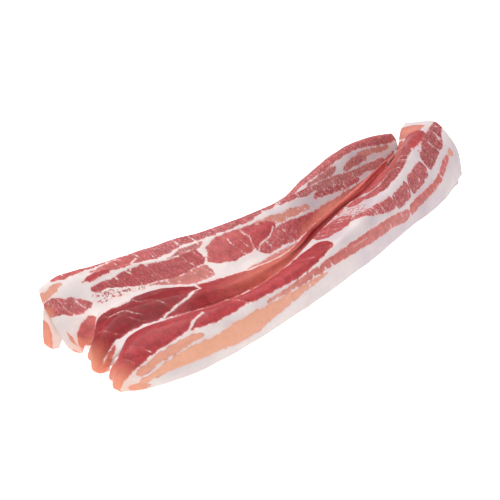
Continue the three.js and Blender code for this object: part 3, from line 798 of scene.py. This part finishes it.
def make_rasher(name, rows, columns, material):
    """One rasher that shows, as a closed skin with its streaks marked on it."""
    piece = Slice(name, rows, columns)
    marks = paint(piece)
    points = ring_points(piece, marks)
    wide = {key: ring_marks(values) for key, values in marks.items()}
    flat = np.stack([ring_marks(piece.u) / FLAT_UNIT,
                     ring_marks(piece.v) / FLAT_UNIT + FLAT_APART * piece.seed], -1)
    obj = grid_object(name + "_meat", points, wide, flat)
    close_skin(obj)
    obj.data.materials.append(material)
    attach(obj, "root")
    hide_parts(name)
    return obj


# The inside: one closed block, with its depth below the top in layers at each line across
# and its right and left edges as lines across at each place along.
INSIDE_START = -99
INSIDE_END = 160
INSIDE_BOW = 2
INSIDE_STEP_BACK = 23
STEP_BACK_FROM = 1.2
STEP_BACK_OVER = 2.4
MIDDLE_LINE = 3
INSIDE_CROWD = 0.2
INSIDE_DEPTH = [(1, 2), (1.3, 3.4), (3.6, 3.2), (4.1, 5.4), (5, 5.6)]
INSIDE_RIGHT = [(-97, 0.6), (-65, 0.1), (130, 0.1), (160, 0.6)]
INSIDE_LEFT = [(-97, 4.9), (-60, 5.8), (110, 5.8), (160, 4.8)]
INSIDE_RELIEF = 0.35


def inside_start(q):
    return INSIDE_START + INSIDE_BOW * (q / MIDDLE_LINE - 1) ** 2


def inside_end(q):
    stepped = INSIDE_END - INSIDE_STEP_BACK * smooth((q - STEP_BACK_FROM) / STEP_BACK_OVER)
    return stepped - INSIDE_BOW * (q / MIDDLE_LINE - 1) ** 2


def make_inside(rows, columns, material):
    """The rashers within the bundle: one closed block that shows their stacked edges."""
    evenly = np.linspace(0, 1, rows + 1)
    crowded = ((1 - 2 * INSIDE_CROWD) * evenly
               + INSIDE_CROWD * (1 - np.cos(math.pi * evenly)))
    middle = inside_start(0) + (inside_end(0) - inside_start(0)) * crowded
    right = ramp(middle, INSIDE_RIGHT)[:, None]
    left = ramp(middle, INSIDE_LEFT)[:, None]
    q = right + (left - right) * np.linspace(0, 1, columns + 1)
    start, end = inside_start(q), inside_end(q)
    s = start + (end - start) * crowded[:, None]
    depth = ramp(q, INSIDE_DEPTH) * STEP + EASE
    top = sheet(s.ravel(), q.ravel(), depth.ravel(), start.ravel(), end.ravel(), 1, 1)
    top = top.reshape(rows + 1, columns + 1, 3)
    rim = np.ones((rows + 1, columns + 1), bool)
    rim[1:-1, 1:-1] = False
    height = np.where(rim, 0, np.maximum(top[..., 2], LEAST_RISE))
    layers = np.abs((height / STEP) % 1 - 0.5) * 2
    stepped = INSIDE_RELIEF * (layers - 0.5) * smooth(height / 3)
    top[..., 2] = height + np.where(rim, 0, stepped)
    foot = top.copy()
    foot[..., 2] = 0
    points = np.concatenate([top, foot[:, ::-1][:, 1:]], 1)
    points = np.concatenate([points, points[:, :1]], 1)
    flat = np.stack([points[..., 0] / FLAT_UNIT, points[..., 1] / FLAT_UNIT], -1)
    obj = grid_object("rashers_within_meat", points, {}, flat)
    close_skin(obj)
    obj.data.materials.append(material)
    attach(obj, "root")
    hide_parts("rashers_within")
    return obj


# Finishes. Noise sizes are in waves to the centimetre of the flat map.
MARKS = ("lean", "tone", "dull", "speck", "glow", "ash")
COARSE = 7.0
FINE = 26.0
FIBRE = 12.0
THREAD = 21.0
FLECK = 18.0
MOTTLE = 2.6
CLOUD = 0.9
MARBLE = 8.0
DRY_TINT = (0.86, 0.98, 1.08, 1)
DRY_BROWN = (0.34, 0.17, 0.17, 1)
DRY_SHARE = 0.28
RIM_PINK = (0.78, 0.30, 0.27, 1)
FROST_PINK = (0.86, 0.47, 0.43, 1)
THREAD_SHADE = (0.62, 0.50, 0.50, 1)
FAT_BLUSH = (0.80, 0.45, 0.42, 1)
FAT_MARBLE = (0.80, 0.50, 0.46, 1)
# Painted light: the orange of light shining through thin fat and thin lean.
FAT_GLOW = (0.90, 0.60, 0.50, 1)
LEAN_GLOW = (0.89, 0.33, 0.20, 1)
GLOW_SHARE = 0.85
EDGE_SOFT = 0.22
ROUGHNESS = (0.32, 0.48)
LEAN_ROUGHER = 0.04
LEAN_SUNK = -0.16
FINE_BUMP = 0.16
THREAD_BUMP = 0.22
BUMP_HEIGHT = 0.001
WHITE = (1, 1, 1, 1)


class Wiring:
    """Short words for placing shader nodes in one tree."""

    def __init__(self, tree):
        self.tree = tree

    def add(self, kind):
        return self.tree.nodes.new(kind)

    def group(self, tree):
        node = self.add("ShaderNodeGroup")
        node.node_tree = tree
        return node

    def link(self, value, socket):
        if isinstance(value, bpy.types.NodeSocket):
            self.tree.links.new(value, socket)
        elif value is not None:
            socket.default_value = value

    def calc(self, operation, a, b=None, c=None, clamp=False):
        node = self.add("ShaderNodeMath")
        node.operation = operation
        node.use_clamp = clamp
        for value, socket in zip((a, b, c), node.inputs):
            self.link(value, socket)
        return node.outputs[0]

    def plus(self, a, b):
        return self.calc("ADD", a, b)

    def minus(self, a, b):
        return self.calc("SUBTRACT", a, b)

    def times(self, a, b):
        return self.calc("MULTIPLY", a, b)

    def blend(self, share, a, b, mode="MIX"):
        node = self.add("ShaderNodeMix")
        node.data_type = "RGBA"
        node.blend_type = mode
        node.clamp_factor = True
        self.link(share, node.inputs[0])
        self.link(a, node.inputs[6])
        self.link(b, node.inputs[7])
        return node.outputs[2]

    def tint(self, a, b):
        return self.blend(1.0, a, b, "MULTIPLY")

    def band(self, value, low, high, to_low=0.0, to_high=1.0):
        """Smooth step from to_low to to_high while value runs from low to high."""
        node = self.add("ShaderNodeMapRange")
        node.interpolation_type = "SMOOTHSTEP"
        self.link(value, node.inputs["Value"])
        for key, number in (("From Min", low), ("From Max", high), ("To Min", to_low),
                            ("To Max", to_high)):
            node.inputs[key].default_value = number
        return node.outputs["Result"]

    def noise(self, vector, scale, detail=2.0, stretch=None):
        if stretch:
            mapping = self.add("ShaderNodeMapping")
            mapping.inputs["Scale"].default_value = stretch
            self.link(vector, mapping.inputs["Vector"])
            vector = mapping.outputs["Vector"]
        node = self.add("ShaderNodeTexNoise")
        self.link(vector, node.inputs["Vector"])
        node.inputs["Scale"].default_value = scale
        node.inputs["Detail"].default_value = detail
        return node.outputs["Fac"]

    def colours(self, value, stops):
        """Colour ramp through stops (position, colour)."""
        node = self.add("ShaderNodeValToRGB")
        self.link(value, node.inputs["Fac"])
        elements = node.color_ramp.elements
        while len(elements) < len(stops):
            elements.new(0.5)
        for element, (position, colour) in zip(elements, stops):
            element.position = position
            element.color = tuple(colour)
        return node.outputs["Color"]

    def grey(self, value):
        node = self.add("ShaderNodeCombineColor")
        for k in range(3):
            self.link(value, node.inputs[k])
        return node.outputs["Color"]


def edge_depth(w, lean, speck, grain):
    """Depth of lean with a grainy edge, which marbling breaks up."""
    reach = w.calc("MULTIPLY_ADD", speck, 5.0, 1.0)
    edge = w.times(w.minus(grain["coarse"], 0.5), reach)
    shiver = w.times(w.minus(grain["fine"], 0.5), 1.3)
    return w.plus(w.plus(lean, edge), w.plus(shiver, w.minus(grain["thread"], 0.5)))


def lean_colour(w, look, flat, marks, grain, depth):
    """Lean by its tone, with dry places, a pale rim, mottling, veins and flecks."""
    tone, dull = marks["Tone"], marks["Dull"]
    colour = w.colours(tone, [(0.0, look.peach), (0.3, look.salmon), (0.55, look.rose),
                              (0.78, look.red), (1.0, look.deep)])
    colour = w.blend(dull, colour, w.blend(DRY_SHARE, w.tint(colour, DRY_TINT), DRY_BROWN))
    detail = w.band(tone, 0.05, 0.5, 0.2, 1.0)
    core = w.band(depth, 0.0, 1.4)
    rim = w.times(w.band(core, 0.0, 1.0, 0.15, 0.0), detail)
    colour = w.blend(rim, colour, RIM_PINK)
    mottled = w.band(w.noise(flat, MOTTLE, 3.0), 0.3, 0.7, 0.82, 1.12)
    colour = w.blend(detail, colour, w.tint(colour, w.grey(mottled)))
    pale = w.blend(w.band(dull, 0.0, 0.6, 0.42, 0.75), colour, FROST_PINK)
    frost = w.times(detail, w.band(dull, 0.0, 0.6, 0.14, 1.05))
    shade = w.times(w.band(grain["thread"], 0.30, 0.52, 0.55, 0.0), detail)
    colour = w.blend(shade, colour, w.tint(colour, THREAD_SHADE))
    veins = w.band(grain["fibre"], 0.50, 0.66, 0.0, 0.42)
    colour = w.blend(w.times(veins, frost), colour, pale)
    flecks = w.band(w.noise(flat, FLECK, 2.0, (1.0, 0.6, 1.0)), 0.54, 0.70, 0.0, 0.6)
    return w.blend(w.times(flecks, frost), colour, pale)


def fat_colour(w, look, flat, ash, depth):
    """Fat from cream to lilac, flushed beside the lean and faintly marbled."""
    cloud = w.times(w.minus(w.noise(flat, CLOUD, 3.0), 0.5), 0.9)
    cloud = w.calc("ADD", cloud, ash, clamp=True)
    colour = w.blend(cloud, tuple(look.fat_cream), tuple(look.fat_lilac))
    colour = w.blend(w.band(depth, -1.3, -0.1, 0.0, 0.27), colour, FAT_BLUSH)
    marbled = w.band(w.noise(flat, MARBLE, 3.0, (0.25, 1.0, 1.0)), 0.55, 0.70, 0.0, 0.3)
    return w.blend(marbled, colour, FAT_MARBLE)


def meat_group(look):
    """Colour, with painted light through thin meat, roughness and height of streaky bacon from its
    marks.
    """
    tree = bpy.data.node_groups.new("streaky_meat", "ShaderNodeTree")
    sockets = [("Flat", "INPUT", "NodeSocketVector")]
    sockets += [(key.capitalize(), "INPUT", "NodeSocketFloat") for key in MARKS]
    sockets += [("Colour", "OUTPUT", "NodeSocketColor"),
                ("Roughness", "OUTPUT", "NodeSocketFloat"),
                ("Height", "OUTPUT", "NodeSocketFloat")]
    for name, side, kind in sockets:
        tree.interface.new_socket(name=name, in_out=side, socket_type=kind)
    w = Wiring(tree)
    marks = w.add("NodeGroupInput").outputs
    flat = marks["Flat"]
    grain = {"coarse": w.noise(flat, COARSE, 3.0), "fine": w.noise(flat, FINE, 3.0),
             "fibre": w.noise(flat, FIBRE, 2.0, (1.0, 0.35, 1.0)),
             "thread": w.noise(flat, THREAD, 2.0, (1.0, 0.3, 1.0))}
    depth = edge_depth(w, marks["Lean"], marks["Speck"], grain)
    mask = w.band(depth, -EDGE_SOFT, EDGE_SOFT)
    colour = w.blend(mask, fat_colour(w, look, flat, marks["Ash"], depth),
                     lean_colour(w, look, flat, marks, grain, depth))
    # Painted light: thin places are painted orange as if lit from behind.
    warm = w.blend(mask, FAT_GLOW, LEAN_GLOW)
    colour = w.blend(w.times(marks["Glow"], GLOW_SHARE), colour, warm)
    rough = w.plus(w.times(mask, LEAN_ROUGHER), w.band(grain["fine"], 0.3, 0.7, *ROUGHNESS))
    height = w.plus(w.times(mask, LEAN_SUNK), w.times(grain["fine"], FINE_BUMP))
    height = w.plus(height, w.times(w.times(grain["thread"], mask), THREAD_BUMP))
    outputs = w.add("NodeGroupOutput").inputs
    w.link(colour, outputs["Colour"])
    w.link(rough, outputs["Roughness"])
    w.link(height, outputs["Height"])
    return tree


def new_finish(name):
    """A material and the words to wire it."""
    material = bpy.data.materials.new(name)
    material.use_nodes = True
    return material, Wiring(material.node_tree)


def finish_meat(w, colour, rough, height):
    """Moist meat: soft light through it and a thin wet coat."""
    shader = w.tree.nodes["Principled BSDF"]
    bump = w.add("ShaderNodeBump")
    bump.inputs["Strength"].default_value = 1.0
    bump.inputs["Distance"].default_value = BUMP_HEIGHT
    w.link(height, bump.inputs["Height"])
    w.link(colour, shader.inputs["Base Color"])
    w.link(rough, shader.inputs["Roughness"])
    w.link(bump.outputs["Normal"], shader.inputs["Normal"])
    for key, value in (("Specular IOR Level", 0.25), ("Subsurface Weight", 0.15),
                       ("Subsurface Radius", (1.0, 0.32, 0.2)),
                       ("Subsurface Scale", 0.0022), ("Coat Weight", 0.13),
                       ("Coat Roughness", 0.2)):
        shader.inputs[key].default_value = value


def raw_bacon(group):
    """Streaky meat that follows the marks of a rasher."""
    material, w = new_finish("raw_bacon")
    uv = w.add("ShaderNodeUVMap")
    uv.uv_map = "flat"
    meat = w.group(group)
    w.link(uv.outputs["UV"], meat.inputs["Flat"])
    for key in MARKS:
        attribute = w.add("ShaderNodeAttribute")
        attribute.attribute_name = key
        w.link(attribute.outputs["Fac"], meat.inputs[key.capitalize()])
    finish_meat(w, meat.outputs["Colour"], meat.outputs["Roughness"], meat.outputs["Height"])
    return material


# The inside's stacked edges: their unevenness in layers and its scale, where streaks of
# lean lie in a layer, and their looks.
LAYER_WAVES = 1.4
LAYER_WAVE_SCALE = 60.0
LAYER_APART = 3.7
FLAT_TO_METRE = 100.0
INSIDE_STREAKS = 0.9
INSIDE_FAT = 0.47
INSIDE_CONTRAST = 30.0
INSIDE_TONE = 0.6
INSIDE_DULL = 0.4


def raw_bacon_inside(group):
    """Cut edges of stacked rashers: thin level layers with streaks of lean, and painted shade in
    the gaps between the layers.
    """
    material, w = new_finish("raw_bacon_inside")
    place = w.add("ShaderNodeTexCoord").outputs["Object"]
    split = w.add("ShaderNodeSeparateXYZ")
    w.link(place, split.inputs[0])
    level = w.calc("DIVIDE", split.outputs["Z"], STEP * MM)
    level = w.plus(level, w.times(w.noise(place, LAYER_WAVE_SCALE), LAYER_WAVES))
    layer = w.calc("FLOOR", level)
    gap = w.calc("ABSOLUTE", w.minus(w.calc("FRACT", level), 0.5))
    # Painted shade: darker at the boundary between one layer and the next.
    crease = w.band(gap, 0.36, 0.5, 1.0, 0.35)
    shift = w.add("ShaderNodeCombineXYZ")
    w.link(w.times(split.outputs["X"], FLAT_TO_METRE), shift.inputs[0])
    w.link(w.times(split.outputs["Y"], FLAT_TO_METRE), shift.inputs[1])
    w.link(w.times(layer, LAYER_APART), shift.inputs[2])
    meat = w.group(group)
    w.link(shift.outputs[0], meat.inputs["Flat"])
    streaks = w.noise(shift.outputs[0], INSIDE_STREAKS)
    lean = w.times(w.minus(streaks, INSIDE_FAT), INSIDE_CONTRAST)
    w.link(lean, meat.inputs["Lean"])
    meat.inputs["Tone"].default_value = INSIDE_TONE
    meat.inputs["Dull"].default_value = INSIDE_DULL
    # The painted shade of the gaps darkens the meat's colour.
    colour = w.tint(meat.outputs["Colour"], w.grey(crease))
    finish_meat(w, colour, meat.outputs["Roughness"], meat.outputs["Height"])
    return material


TABLE_ROUGHNESS = 0.6
TABLE_LIGHT = 0.7


def table_finish(colour):
    """Plain white table with a faint unevenness and a faint light of its own."""
    material, w = new_finish("table_white")
    shader = w.tree.nodes["Principled BSDF"]
    place = w.add("ShaderNodeTexCoord").outputs["Object"]
    faint = w.band(w.noise(place, 40.0), 0.3, 0.7, 0.97, 1.0)
    w.link(w.tint((*colour, 1), w.grey(faint)), shader.inputs["Base Color"])
    shader.inputs["Roughness"].default_value = TABLE_ROUGHNESS
    shader.inputs["Emission Color"].default_value = WHITE
    shader.inputs["Emission Strength"].default_value = TABLE_LIGHT
    return material


# Stage. Lamps: name, power in watts, side in metres and place in metres.
LAMPS = (("soft box", 12.5, 1.3, (-0.05, 0.1, 0.95)),
         ("fill", 0.9, 1.2, (-0.9, -0.8, 0.45)),
         ("glint", 1.3, 0.25, (0.36, 0.42, 0.85)))
ROOM_LIGHT = 0.27
AIM_HEIGHT = 0.016
SENSOR = 36
NEAREST = 0.01


# Add-on
def colour_prop(name, description, default):
    return bpy.props.FloatVectorProperty(name=name, description=description, size=4,
                                         subtype="COLOR", min=0, max=1,
                                         default=(*default, 1))


def count_prop(name, description, default, least):
    return bpy.props.IntProperty(name=name, description=description, default=default,
                                 min=least)


class BaconLook(bpy.types.PropertyGroup):
    peach: colour_prop("Peach lean", "Palest, orange-pink lean", (0.90, 0.47, 0.31))
    salmon: colour_prop("Salmon lean", "Light lean", (0.62, 0.21, 0.175))
    rose: colour_prop("Rose lean", "Middle lean", (0.54, 0.068, 0.078))
    red: colour_prop("Red lean", "Dark lean", (0.38, 0.026, 0.034))
    deep: colour_prop("Deep lean", "Darkest lean", (0.27, 0.006, 0.012))
    fat_cream: colour_prop("Cream fat", "Brightest fat", (0.82, 0.73, 0.70))
    fat_lilac: colour_prop("Lilac fat", "Greyest fat", (0.58, 0.485, 0.53))


class BaconSize(bpy.types.PropertyGroup):
    rows: count_prop("Rows", "Facets along a top rasher", 470, 60)
    columns: count_prop("Columns", "Facets across a top rasher", 100, 24)
    under_share: bpy.props.FloatProperty(
        name="Under share", description="Facets of an under rasher for one of a top rasher",
        subtype="FACTOR", default=0.68, min=0.4, max=1)
    inside_rows: count_prop("Inside rows", "Facets along the inside", 200, 40)
    inside_columns: count_prop("Inside columns", "Facets across the inside", 90, 24)


class BaconStage(bpy.types.PropertyGroup):
    table: bpy.props.FloatVectorProperty(
        name="Table", description="Colour of the table", subtype="COLOR", size=3,
        default=(0.95, 0.95, 0.95))
    table_side: bpy.props.FloatProperty(
        name="Table side", description="Side of the table", unit="LENGTH",
        subtype="DISTANCE", default=6)
    azimuth: bpy.props.FloatProperty(
        name="Azimuth", description="Camera's turn round the bundle", subtype="ANGLE",
        default=math.radians(-45))
    elevation: bpy.props.FloatProperty(
        name="Elevation", description="Camera's height angle", subtype="ANGLE",
        default=math.radians(32))
    distance: bpy.props.FloatProperty(
        name="Distance", description="Camera's distance", unit="LENGTH",
        subtype="DISTANCE", default=0.7)
    lens: bpy.props.FloatProperty(
        name="Lens", description="Camera's focal length in mm", unit="CAMERA", default=98.3)


FINISHES = {}


def meat_finish(name):
    """One of the two finishes of meat; both are made at the first call."""
    if not FINISHES:
        group = meat_group(bpy.context.scene.bacon_look)
        FINISHES["raw_bacon"] = raw_bacon(group)
        FINISHES["raw_bacon_inside"] = raw_bacon_inside(group)
    return FINISHES[name]


class BACON_OT_top_rashers(bpy.types.Operator):
    """Build the three rashers that lie on top: front, middle and back"""
    bl_idname = "bacon.top_rashers"
    bl_label = "Top rashers"

    def execute(self, context):
        size = context.scene.bacon_size
        for name in ("rasher_front", "rasher_middle", "rasher_back"):
            make_rasher(name, size.rows, size.columns, meat_finish("raw_bacon"))
        return {"FINISHED"}


class BACON_OT_under_rashers(bpy.types.Operator):
    """Build the four rashers that show from under the top ones"""
    bl_idname = "bacon.under_rashers"
    bl_label = "Under rashers"

    def execute(self, context):
        size = context.scene.bacon_size
        rows = int(size.rows * size.under_share)
        columns = int(size.columns * size.under_share)
        for name in ("rasher_front_under", "rasher_middle_under", "rasher_back_under",
                     "rasher_back_low"):
            make_rasher(name, rows, columns, meat_finish("raw_bacon"))
        return {"FINISHED"}


class BACON_OT_inside(bpy.types.Operator):
    """Build the stack of rashers within the bundle"""
    bl_idname = "bacon.inside"
    bl_label = "Inside of the bundle"

    def execute(self, context):
        size = context.scene.bacon_size
        make_inside(size.inside_rows, size.inside_columns, meat_finish("raw_bacon_inside"))
        return {"FINISHED"}


class BACON_OT_stage(bpy.types.Operator):
    """Add the table, the soft light and the camera"""
    bl_idname = "bacon.stage"
    bl_label = "Table, light and camera"

    def execute(self, context):
        settings = context.scene.bacon_stage
        self.add_table(context, settings)
        self.add_light(context)
        self.add_camera(context, settings)
        context.scene.view_settings.view_transform = "Standard"
        return {"FINISHED"}

    def add_table(self, context, settings):
        bpy.ops.object.select_all(action="DESELECT")
        bpy.ops.mesh.primitive_plane_add(size=settings.table_side, location=(0, 0, 0))
        table = context.object
        table.name = "table"
        table.data.materials.append(table_finish(settings.table))

    def add_light(self, context):
        for name, power, side, at in LAMPS:
            bpy.ops.object.light_add(type="AREA", location=at)
            lamp = context.object
            lamp.name = name
            lamp.data.energy = power
            lamp.data.size = side
            lamp.rotation_euler = (-Vector(at)).to_track_quat("-Z", "Y").to_euler()
        world = bpy.data.worlds.new("soft_room")
        context.scene.world = world
        world.use_nodes = True
        background = world.node_tree.nodes["Background"]
        background.inputs["Color"].default_value = WHITE
        background.inputs["Strength"].default_value = ROOM_LIGHT

    def add_camera(self, context, settings):
        a, e = settings.azimuth, settings.elevation
        back = Vector((math.sin(a) * math.cos(e), -math.cos(a) * math.cos(e), math.sin(e)))
        aim = Vector((-CENTRE[0] * MM, -CENTRE[1] * MM, AIM_HEIGHT))
        bpy.ops.object.camera_add(location=aim + back * settings.distance)
        camera = context.object
        camera.name = "camera"
        camera.data.sensor_width = SENSOR
        camera.data.lens = settings.lens
        camera.data.clip_start = NEAREST
        camera.rotation_euler = (-back).to_track_quat("-Z", "Y").to_euler()
        context.scene.camera = camera


class BACON_PT_panel(bpy.types.Panel):
    bl_idname = "BACON_PT_panel"
    bl_label = "Bacon bundle"
    bl_space_type = "VIEW_3D"
    bl_region_type = "UI"
    bl_category = "Bacon"

    def draw(self, context):
        scene = context.scene
        for group in (scene.bacon_size, scene.bacon_look, scene.bacon_stage):
            box = self.layout.box()
            for key in type(group).__annotations__:
                box.prop(group, key)
        for operator in OPERATORS:
            self.layout.operator(operator.bl_idname)


OPERATORS = (BACON_OT_top_rashers, BACON_OT_under_rashers, BACON_OT_inside, BACON_OT_stage)
CLASSES = (BaconLook, BaconSize, BaconStage, *OPERATORS, BACON_PT_panel)


def register():
    for item in CLASSES:
        bpy.utils.register_class(item)
    bpy.types.Scene.bacon_look = bpy.props.PointerProperty(type=BaconLook)
    bpy.types.Scene.bacon_size = bpy.props.PointerProperty(type=BaconSize)
    bpy.types.Scene.bacon_stage = bpy.props.PointerProperty(type=BaconStage)


def unregister():
    del bpy.types.Scene.bacon_look
    del bpy.types.Scene.bacon_size
    del bpy.types.Scene.bacon_stage
    for item in reversed(CLASSES):
        bpy.utils.unregister_class(item)


def main():
    register()
    bpy.ops.bacon.top_rashers()
    bpy.ops.bacon.under_rashers()
    bpy.ops.bacon.inside()
    bpy.ops.bacon.stage()


if __name__ == "__main__":
    main()
